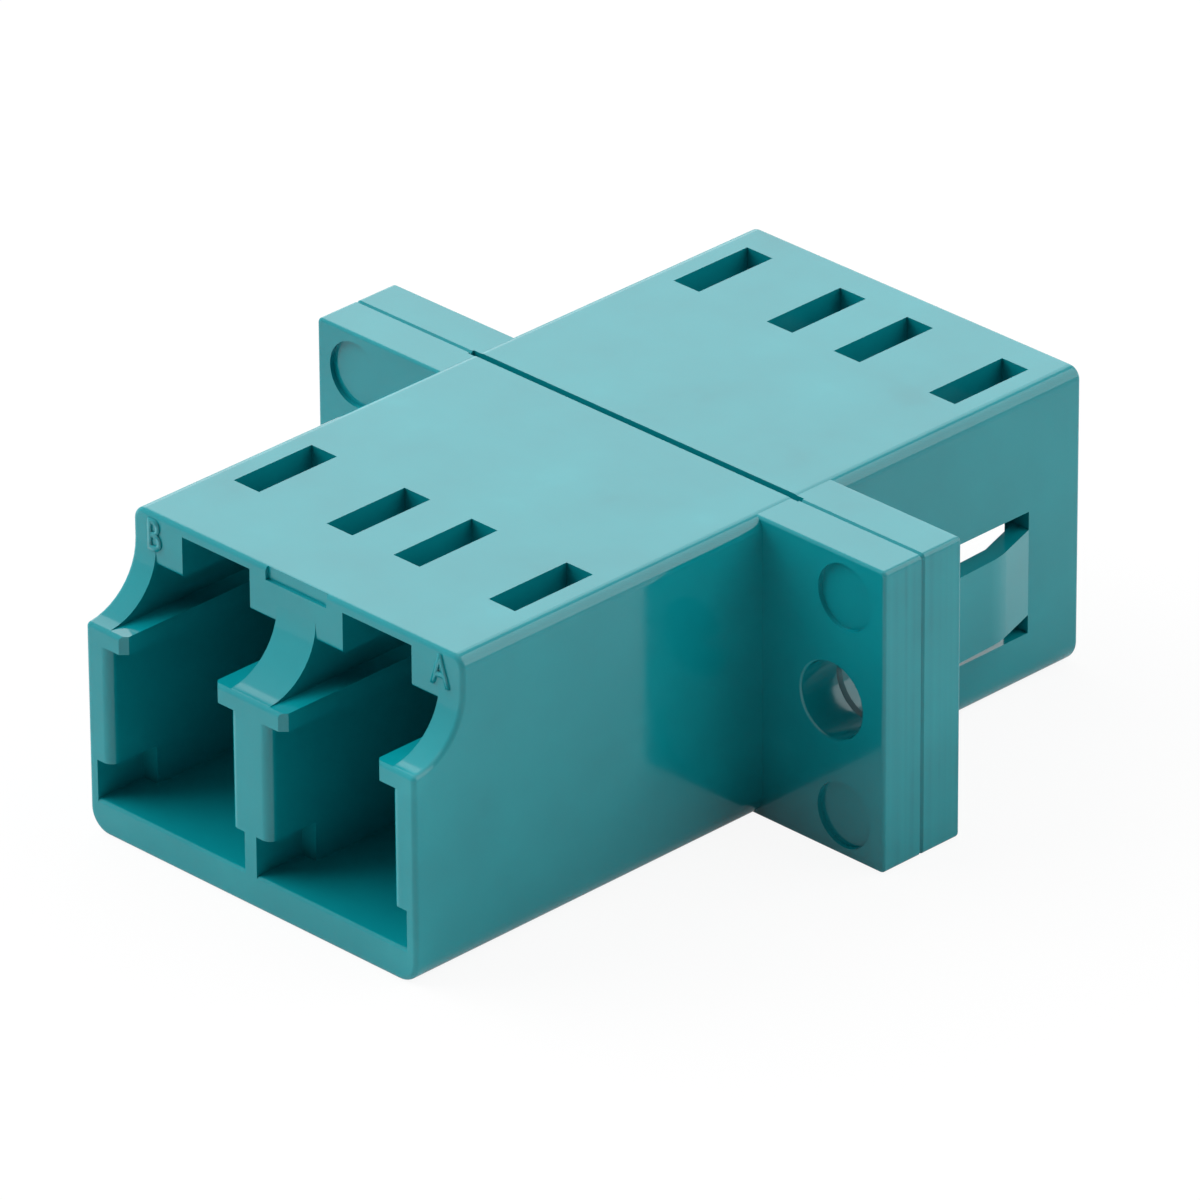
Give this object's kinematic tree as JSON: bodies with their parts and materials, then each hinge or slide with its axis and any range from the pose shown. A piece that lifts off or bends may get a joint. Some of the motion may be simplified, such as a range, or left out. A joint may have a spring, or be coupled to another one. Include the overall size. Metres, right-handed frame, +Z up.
{
  "type": "fibre optic adapter",
  "caption": "Flanged duplex fibre adapter with latch windows, scooped front ports, plain rear ports, snap tongues and split alignment sleeves that join small-ferrule plugs through a panel.",
  "frame": {"origin": "middle of the two screw holes, on the flange face that seats on the panel", "axes": "+X along the flange, +Y into the panel towards the rear ports, +Z up towards the latch windows"},
  "size_m": [0.022, 0.0259, 0.0094],
  "materials": {
    "aqua_plastic": "satin moulded",
    "zirconia": "polished"
  },
  "bodies": {
    "root": {"front_housing": "aqua_plastic", "rear_housing": "aqua_plastic", "alignment_sleeve_a": "zirconia", "alignment_sleeve_b": "zirconia"}
  },
  "joints": []
}
